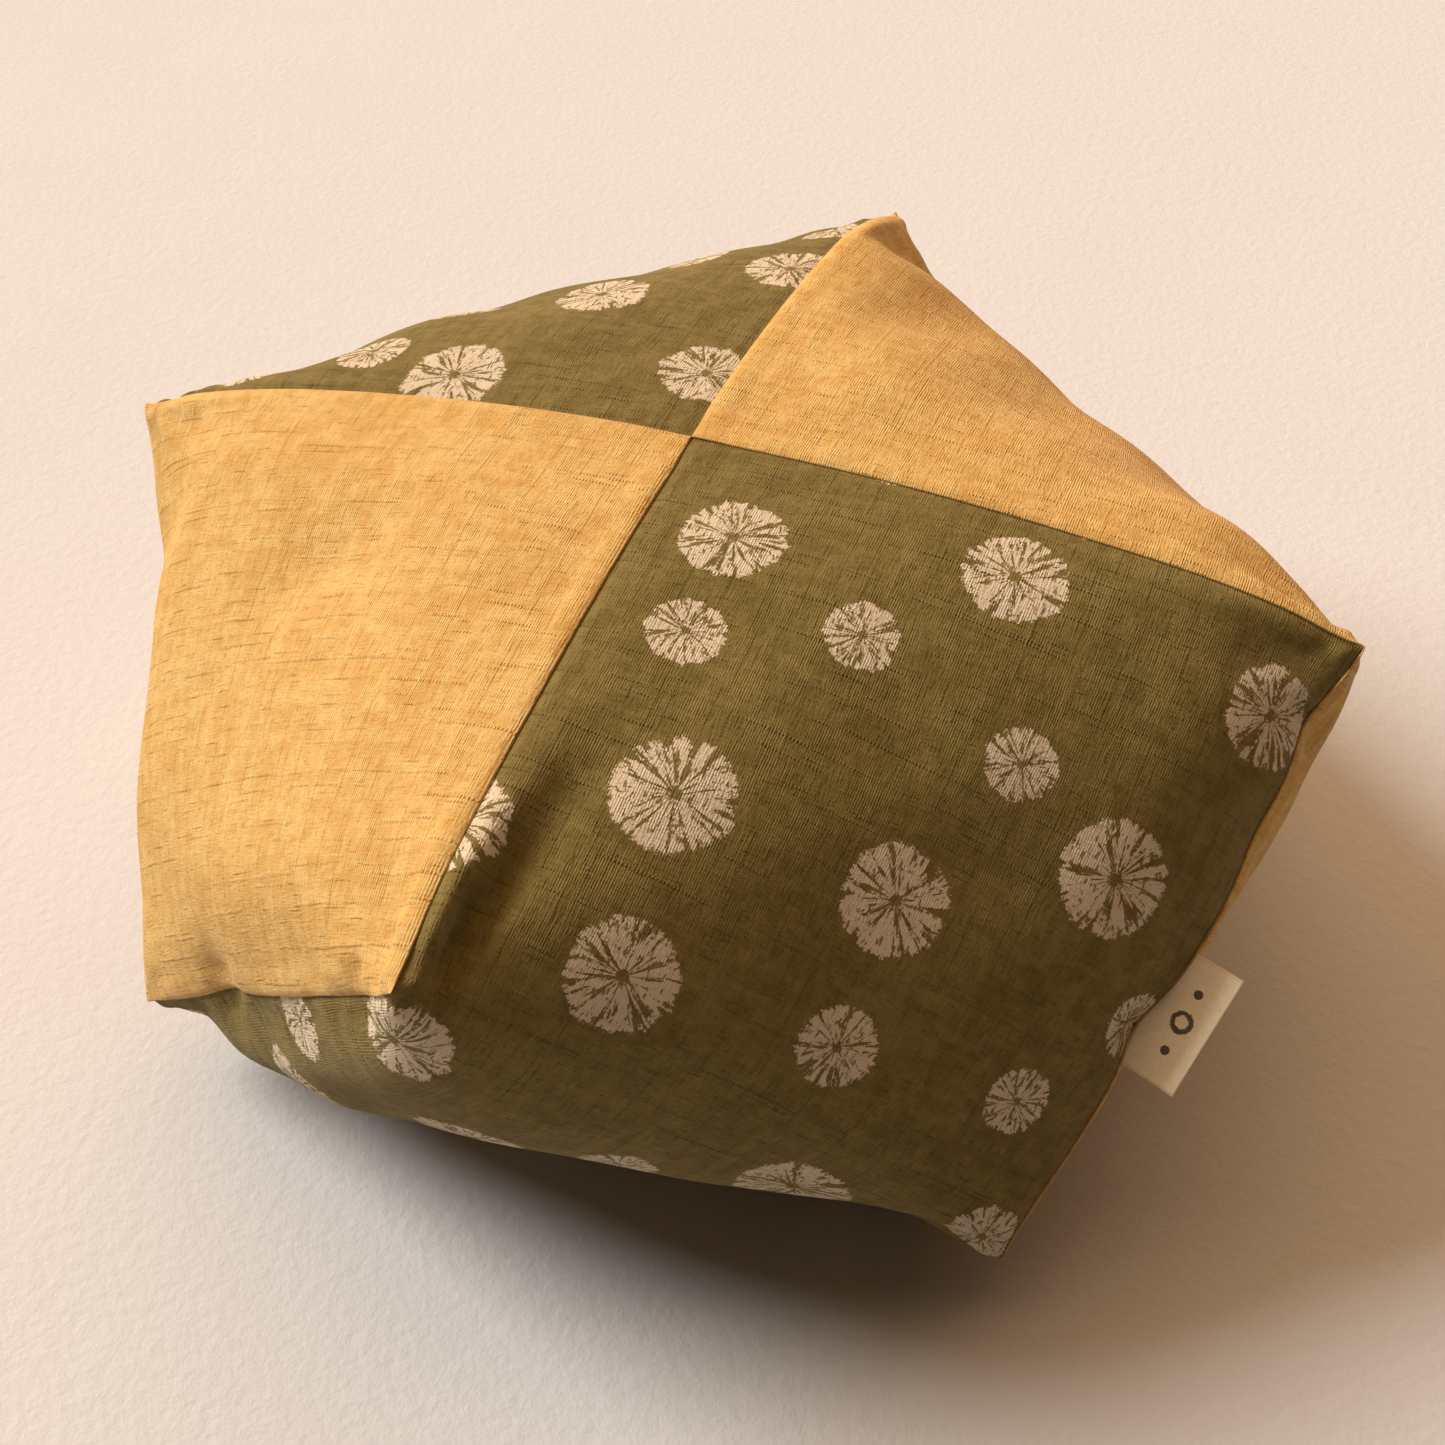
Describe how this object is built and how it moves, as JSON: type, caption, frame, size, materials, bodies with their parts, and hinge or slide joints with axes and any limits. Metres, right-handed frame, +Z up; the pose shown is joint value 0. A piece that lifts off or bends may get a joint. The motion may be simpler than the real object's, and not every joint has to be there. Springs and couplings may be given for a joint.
{
  "type": "floor cushion",
  "caption": "Plump floor cushion sewn from oblong cotton panels into a pointed square drum, stuffed with wadding, with a small folded label on one side seam.",
  "frame": {"origin": "middle of the resting patch on the floor", "axes": "+Z up through the middle of the top; +X towards the lower corner where the labelled seam ends; angles anticlockwise from above"},
  "size_m": [0.492, 0.492, 0.227],
  "materials": {
    "olive_print_cotton": "matte",
    "mustard_cotton": "matte",
    "corner_wadding": "matte",
    "sheet_wadding": "matte",
    "seam_thread": "satin",
    "closing_thread": "satin",
    "label_ribbon": "satin"
  },
  "bodies": {
    "cushion": {"print_panel_right": "olive_print_cotton", "plain_panel_back": "mustard_cotton", "print_panel_left": "olive_print_cotton", "plain_panel_front": "mustard_cotton", "upper_back_right_wad": "corner_wadding", "upper_back_left_wad": "corner_wadding", "upper_front_left_wad": "corner_wadding", "upper_front_right_wad": "corner_wadding", "lower_right_wad": "corner_wadding", "lower_back_wad": "corner_wadding", "lower_left_wad": "corner_wadding", "lower_front_wad": "corner_wadding", "wadding_sheet_1": "sheet_wadding", "wadding_sheet_2": "sheet_wadding", "wadding_sheet_3": "sheet_wadding", "wadding_sheet_4": "sheet_wadding", "wadding_sheet_5": "sheet_wadding", "wadding_sheet_6": "sheet_wadding", "upper_back_right_top_seam": "seam_thread", "upper_back_left_top_seam": "seam_thread", "upper_front_left_top_seam": "seam_thread", "upper_front_right_top_seam": "seam_thread", "upper_back_right_side_seam": "seam_thread", "upper_back_left_side_seam": "seam_thread", "upper_front_left_side_seam": "seam_thread", "upper_front_right_side_seam": "seam_thread", "lower_right_underside_seam": "seam_thread", "lower_back_underside_seam": "seam_thread", "lower_left_underside_seam": "seam_thread", "lower_front_underside_seam": "seam_thread", "hand_closing_thread": "closing_thread"},
    "label_flap": {"label": "label_ribbon"}
  },
  "joints": [
    {"name": "label_flip", "type": "hinge", "parent": "cushion", "child": "label_flap", "pos_m": [0.21949, 0.07547, 0.1015], "axis": [0.2847, -0.7103, -0.6437], "range_deg": [-80, 80], "stiffness_Nm_per_rad": 0.001}
  ]
}
